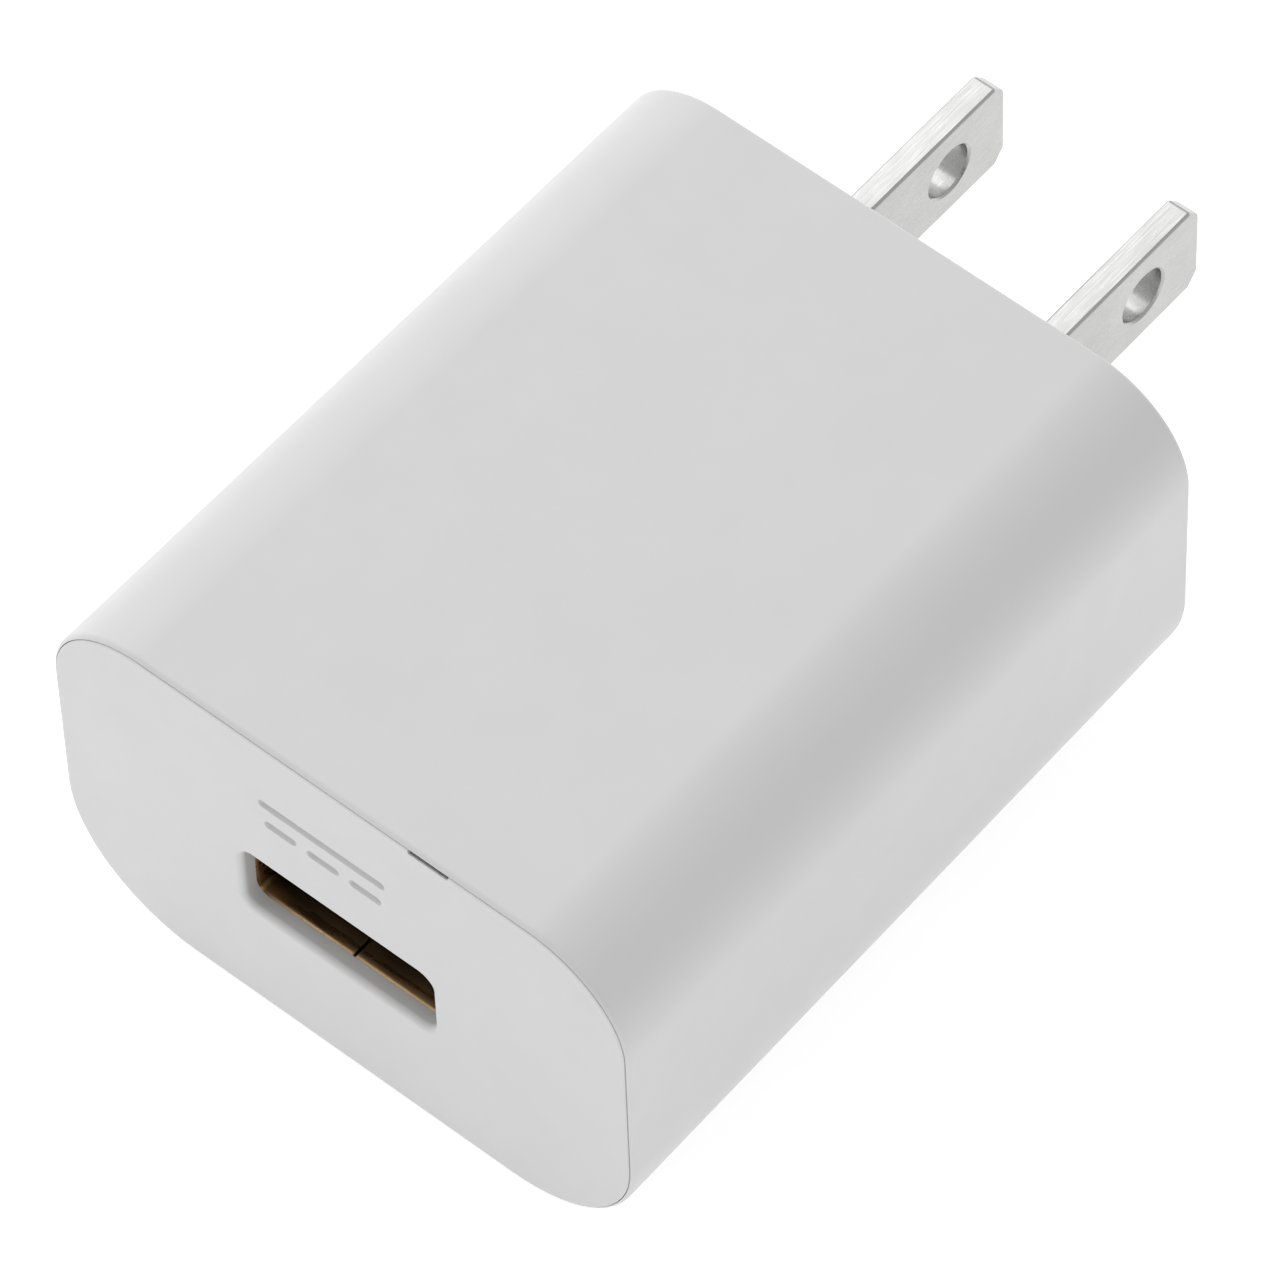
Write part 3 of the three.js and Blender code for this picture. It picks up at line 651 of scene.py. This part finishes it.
def rounded_polygon(points, radii, steps=5):
    """Rounds each corner of a polygon by its own radius."""
    result = []
    count = len(points)
    for i, point in enumerate(points):
        here = Vector(point)
        before = (Vector(points[i - 1]) - here).normalized()
        after = (Vector(points[(i + 1) % count]) - here).normalized()
        half = before.angle(after) / 2
        reach = radii[i] / math.tan(half)
        centre = here + (before + after).normalized() * (radii[i] / math.sin(half))
        start = here + before * reach - centre
        end = here + after * reach - centre
        turn = start.angle_signed(end)
        for k in range(steps + 1):
            result.append(tuple(centre + rotated(start, -turn * k / steps)))
    return result


def rotated(vector, angle):
    c, s = math.cos(angle), math.sin(angle)
    return Vector((vector.x * c - vector.y * s, vector.x * s + vector.y * c))


def inset_polygon(points, distance):
    """Moves a counter-clockwise outline inwards."""
    result = []
    count = len(points)
    for i, point in enumerate(points):
        here = Vector(point)
        before = (here - Vector(points[i - 1])).normalized()
        after = (Vector(points[(i + 1) % count]) - here).normalized()
        normal = Vector((-before.y - after.y, before.x + after.x)).normalized()
        cosine = max(normal.dot(Vector((-before.y, before.x))), 0.3)
        result.append(tuple(here + normal * (distance / cosine)))
    return result


def blade_outline():
    """The blade's broad face in Y and Z: a narrow tail, shoulders in the body, and cut tip corners."""
    tip = blade_high.y
    tail = blade_low.y
    half = BLADE_WIDTH / 2
    lower = (
        (tail, TAIL_HALF, 0.3),
        (SHOULDER_Y, TAIL_HALF, 0.15),
        (SHOULDER_Y, half, 0.15),
        (tip - TIP_CUT[0], half, 0.3),
        (tip, half - TIP_CUT[1], 0.35),
    )
    points = [(y, -z) for y, z, _ in lower] + [(y, z) for y, z, _ in reversed(lower)]
    radii = [radius for *_, radius in lower + lower[::-1]]
    return rounded_polygon(points, radii)


def circle_points(centre, radius, steps=48):
    points = []
    for i in range(steps):
        angle = 2 * math.pi * i / steps
        points.append((centre[0] + radius * math.cos(angle), centre[1] + radius * math.sin(angle)))
    return points


def bevel_profile(size, soften):
    """(inset, drop) pairs of a 45-degree bevel with softened corners, from broad face to edge."""
    return ((size + soften, 0.0), (size, soften * 0.3), (soften * 0.3, size), (0.0, size + soften))


def build_blade(side, node):
    bm = bmesh.new()
    x = side * BLADE_X
    half = BLADE_THICKNESS / 2
    outline = blade_outline()
    hole_centre = (blade_high.y - HOLE_FROM_TIP, 0.0)
    edge = bevel_profile(BLADE_BEVEL, BEVEL_SOFTEN)
    rim = bevel_profile(HOLE_BEVEL, HOLE_SOFTEN)
    outer_rings, hole_rings = [], []
    for face in (-1, 1):
        pairs = tuple(zip(edge, rim))
        for (inset, drop), (widening, hole_drop) in pairs if face < 0 else reversed(pairs):
            outer = inset_polygon(outline, inset)
            hole = circle_points(hole_centre, HOLE_RADIUS + widening)
            outer_rings.append([(x + face * (half - drop), py, BLADE_Z + pz) for py, pz in outer])
            hole_rings.append([(x + face * (half - hole_drop), py, BLADE_Z + pz) for py, pz in hole])
    outer_a, outer_b = loft(bm, outer_rings)
    hole_a, hole_b = loft(bm, hole_rings)
    fill(bm, outer_a, hole_a)
    fill(bm, outer_b, hole_b)
    piece = finish_mesh(node + "_plate", bm, sharp_degrees=50)
    dress(piece, NICKEL)
    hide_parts(node)


build_blade(-1, "blade_left")
build_blade(1, "blade_right")

# ------------------------------------------------------------------ USB receptacle shell


def shell_path(flare):
    """Mid-sheet section of the folded shell, from one side of the floor seam round to the other."""
    half_w = (INNER[0] + SHEET) / 2 + flare
    half_h = (INNER[1] + SHEET) / 2 + flare
    radius = SHELL_RADIUS
    window = [LATCH_X - LATCH_WIDTH / 2, LATCH_X + LATCH_WIDTH / 2]
    points = [(SEAM_HALF, -half_h)]
    points += [(w, -half_h) for w in window]
    for centre_z, start in ((-half_h + radius, -90), (half_h - radius, 0)):
        for k in range(SHELL_ARC + 1):
            angle = math.radians(start + 90 / SHELL_ARC * k)
            points.append((half_w - radius + radius * math.cos(angle), centre_z + radius * math.sin(angle)))
    points += [(w, half_h) for w in reversed(window)]
    points.append((0.0, half_h))
    left = [(-px, pz) for px, pz in reversed(points[:-1])]
    return [(PORT_X + px, PORT_Z + pz) for px, pz in points + left]


def in_window(point):
    """True where a face on the floor or roof of the shell makes way for a latch spring."""
    level = abs(abs(point.z - PORT_Z) - (INNER[1] + SHEET) / 2) < WINDOW_SLACK
    offset = abs(abs(point.x - PORT_X) - LATCH_X)
    return level and offset < LATCH_WIDTH / 2 and LATCH_Y[0] < point.y < LATCH_Y[1]


def build_shell():
    """One folded sheet, open along the floor seam, flared at its mouth and cut out for four latch springs."""
    bm = bmesh.new()
    stations = [(SHELL_FRONT + depth, flare) for depth, flare in LIP_FLARE]
    first, last = LATCH_Y
    stations += [(y, 0.0) for y in (first, first + LATCH_MIDDLE, last - LATCH_MIDDLE, last)]
    stations += [(SHELL_BACK - inwards, 0.0) for inwards in SHELL_BACK_ROWS]
    rows = [[bm.verts.new((px, y, pz)) for px, pz in shell_path(flare)] for y, flare in stations]
    for row_a, row_b in zip(rows, rows[1:]):
        for i in range(len(row_a) - 1):
            if not in_window((row_a[i].co + row_b[i + 1].co) / 2):
                bm.faces.new((row_a[i], row_a[i + 1], row_b[i + 1], row_b[i]))
    add_shell_legs(bm)
    piece = finish_mesh("usb_receptacle_shell", bm, own_normals=False, sharp_degrees=60)
    solid = piece.modifiers.new("sheet", "SOLIDIFY")
    solid.thickness = SHEET * MM
    solid.offset = 0.0
    add_bevel(piece, SHELL_BEVEL, 50)
    dress(piece, SHELL_STEEL_WITH_PAINTED_SHADE)
    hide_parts("usb_shell")


def add_shell_legs(bm):
    """Four tabs that run down from the side walls through the board."""
    half_outline = ((LEG_HALF, LEG_TOP), (LEG_HALF, SHELL_LOW + LEG_TIP), (LEG_TIP_HALF, SHELL_LOW))
    outline = [(-y, z) for y, z in half_outline] + list(reversed(half_outline))
    for side in (-1, 1):
        x = PORT_X + side * (INNER[0] + SHEET) / 2
        for place in LEG_PLACES:
            bm.faces.new([bm.verts.new((x, SHELL_FRONT + place + y, z)) for y, z in outline])


build_shell()

# ------------------------------------------------------------------ refined copies of other CAD nodes


def refined(node, name, material, slot, edge_mm, body=ROOT):
    """A copy of a CAD node with its facets merged and its edges rounded."""
    bm = bmesh.new()
    bm.from_mesh(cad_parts[node].data)
    bmesh.ops.remove_doubles(bm, verts=bm.verts, dist=1e-7)
    bmesh.ops.scale(bm, vec=(1 / MM, 1 / MM, 1 / MM), verts=bm.verts)
    bmesh.ops.dissolve_limit(
        bm, angle_limit=math.radians(2), verts=bm.verts, edges=bm.edges, use_dissolve_boundaries=False,
    )
    piece = finish_mesh(name, bm, body=body, own_normals=False)
    add_bevel(piece, edge_mm, 40)
    normals = piece.modifiers.new("weighted", "WEIGHTED_NORMAL")
    normals.weight = 60
    normals.keep_sharp = True
    dress(piece, material)
    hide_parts(node)


SIMPLE_PIECES = (
    ("blade_carrier", "blade_block", BLACK, "black_plastic", 0.25),
    ("blade_lead_left", "lead_strip_left", TIN, "tin_plate", 0.06),
    ("blade_lead_right", "lead_strip_right", TIN, "tin_plate", 0.06),
    ("usb_insulator", "usb_tongue_block", BLACK, "black_plastic", 0.12),
    ("transformer_core_left", "core_left", FERRITE, "ferrite", 0.15),
    ("transformer_core_right", "core_right", FERRITE, "ferrite", 0.15),
    ("transformer_bobbin", "bobbin", BOBBIN, "bobbin_plastic", 0.1),
    ("transformer_winding_tape", "winding_tape", TAPE, "yellow_tape", 0.04),
    ("transformer_core_band", "core_band", TAPE, "yellow_tape", 0.06),
    ("bridge_rectifier", "bridge_package", BLACK, "black_plastic", 0.06),
    ("controller_chip", "controller_package", BLACK, "black_plastic", 0.06),
    ("optocoupler", "optocoupler_package", BLACK, "black_plastic", 0.06),
    ("output_diode", "diode_package", BLACK, "black_plastic", 0.06),
    ("snubber_resistor", "snubber_resistor_chip", BLACK, "black_plastic", 0.08),
    ("snubber_capacitor", "snubber_capacitor_chip", FILM, "clear_film", 0.08),
    ("insulation_sheet", "film_sheet", FILM, "clear_film", 0.05),
    ("main_board", "circuit_board", BOARD, "board_green", 0.06),
)

for row in SIMPLE_PIECES:
    refined(*row)

SPRING_EDGE = 0.05
for k in range(1, 5):
    arm, tail, leaf = f"usb_contact_arm_{k}", f"usb_contact_tail_{k}", f"usb_latch_spring_{k}"
    refined(arm, f"contact_arm_{k}", GOLD, "gold_plate", SPRING_EDGE, body=f"contact_{k}")
    refined(tail, f"contact_tail_{k}", GOLD, "gold_plate", SPRING_EDGE)
    # The latch leaves take the shell's material, with its painted shade that darkens with depth.
    refined(leaf, f"latch_leaf_{k}", SHELL_STEEL_WITH_PAINTED_SHADE, "shell_steel", SPRING_EDGE, body=f"latch_{k}")

# ------------------------------------------------------------------ nodes that keep their CAD mesh

KEPT = {
    "transformer_winding": COPPER,
    "input_choke_core": FERRITE,
    "input_choke_winding": COPPER,
    "y_capacitor": CERAMIC,
    "fusible_resistor": RESISTOR,
}
KEPT.update({f"transformer_pin_{k}": TIN for k in range(1, 7)})
for base in ("bulk_capacitor_1", "bulk_capacitor_2", "output_capacitor_1", "output_capacitor_2"):
    KEPT[base + "_can"] = SLEEVE
    KEPT[base + "_bung"] = RUBBER
for node, material in KEPT.items():
    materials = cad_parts[node].data.materials
    materials.clear()
    materials.append(material)

# ------------------------------------------------------------------ floor, lights and camera

FLOOR_Z = body_low.z * MM
FLOOR_HALF = 3.0
FLOOR_GLOW = 0.41
WORLD_STRENGTH = 0.68
LIGHT_DISTANCE = 0.9
# Name, azimuth and elevation in degrees, side in metres, and power in watts
SOFT_BOXES = (
    ("left_softbox", 270, 50, 0.5, 2.1),
    ("back_softbox", 225, 52, 0.36, 0.7),
    ("low_back_softbox", 225, 18, 0.5, 1.2),
)
CAMERA_AZIMUTH = 41.917
CAMERA_ELEVATION = 54.912
CAMERA_ROLL = -2.372
CAMERA_DISTANCE = 529.1
CAMERA_SHIFT = (0.517, 0.31)  # aim, right and up of the body's middle
FOCAL_LENGTH = 297.9
SENSOR_WIDTH = 36.0


def direction(azimuth, elevation):
    """Unit vector away from the object; azimuth 0 is in front of the USB face and 90 is its right side."""
    return Vector((
        math.sin(azimuth) * math.cos(elevation),
        -math.cos(azimuth) * math.cos(elevation),
        math.sin(elevation),
    ))


def build_floor():
    mesh = bpy.data.meshes.new("floor")
    corners = [(x * FLOOR_HALF, y * FLOOR_HALF, FLOOR_Z) for x, y in ((-1, -1), (1, -1), (1, 1), (-1, 1))]
    mesh.from_pydata(corners, [], [(0, 1, 2, 3)])
    floor = bpy.data.objects.new("floor", mesh)
    bpy.context.scene.collection.objects.link(floor)
    n = Nodes("pale_floor", (0.93, 0.93, 0.93), 0.6)
    n.vary_color(n.noise(400.0, 2.0), (0.93, 0.93, 0.93), (0.94, 0.94, 0.94))
    n.shader.inputs["Specular IOR Level"].default_value = 0.2
    n.shader.inputs["Emission Color"].default_value = (1.0, 1.0, 1.0, 1.0)
    n.shader.inputs["Emission Strength"].default_value = FLOOR_GLOW
    mesh.materials.append(n.material)


def soft_box(name, azimuth, elevation, size, power):
    """A square softbox that faces the middle of the body."""
    middle = Vector((0.0, FACE_Y / 2 * MM, 0.0))
    place = middle + direction(math.radians(azimuth), math.radians(elevation)) * LIGHT_DISTANCE
    light = bpy.data.lights.new(name, "AREA")
    light.shape = "RECTANGLE"
    light.size = size
    light.size_y = size
    light.energy = power
    holder = bpy.data.objects.new(name, light)
    holder.location = place
    holder.rotation_euler = (middle - place).to_track_quat("-Z", "Y").to_euler()
    bpy.context.scene.collection.objects.link(holder)


def build_lights():
    for row in SOFT_BOXES:
        soft_box(*row)
    world = bpy.data.worlds.new("studio")
    world.use_nodes = True
    background = world.node_tree.nodes["Background"]
    background.inputs["Color"].default_value = (1.0, 1.0, 1.0, 1.0)
    background.inputs["Strength"].default_value = WORLD_STRENGTH
    bpy.context.scene.world = world


def build_camera():
    """Camera a little over half a metre away, above the corner between the USB face and the right side."""
    azimuth, roll = math.radians(CAMERA_AZIMUTH), math.radians(CAMERA_ROLL)
    back = direction(azimuth, math.radians(CAMERA_ELEVATION))
    level = Vector((math.cos(azimuth), math.sin(azimuth), 0.0))
    upright = back.cross(level)
    right = level * math.cos(roll) + upright * math.sin(roll)
    up = upright * math.cos(roll) - level * math.sin(roll)
    aim = Vector((0.0, FACE_Y / 2, 0.0)) + right * CAMERA_SHIFT[0] + up * CAMERA_SHIFT[1]
    camera_data = bpy.data.cameras.new("camera")
    camera_data.sensor_width = SENSOR_WIDTH
    camera_data.lens = FOCAL_LENGTH
    camera_data.clip_start = 0.01
    camera = bpy.data.objects.new("camera", camera_data)
    matrix = Matrix((right, up, back)).transposed().to_4x4()
    matrix.translation = (aim + back * CAMERA_DISTANCE) * MM
    camera.matrix_world = matrix
    bpy.context.scene.collection.objects.link(camera)
    bpy.context.scene.camera = camera


build_floor()
build_lights()
build_camera()
bpy.context.scene.view_settings.view_transform = "Standard"
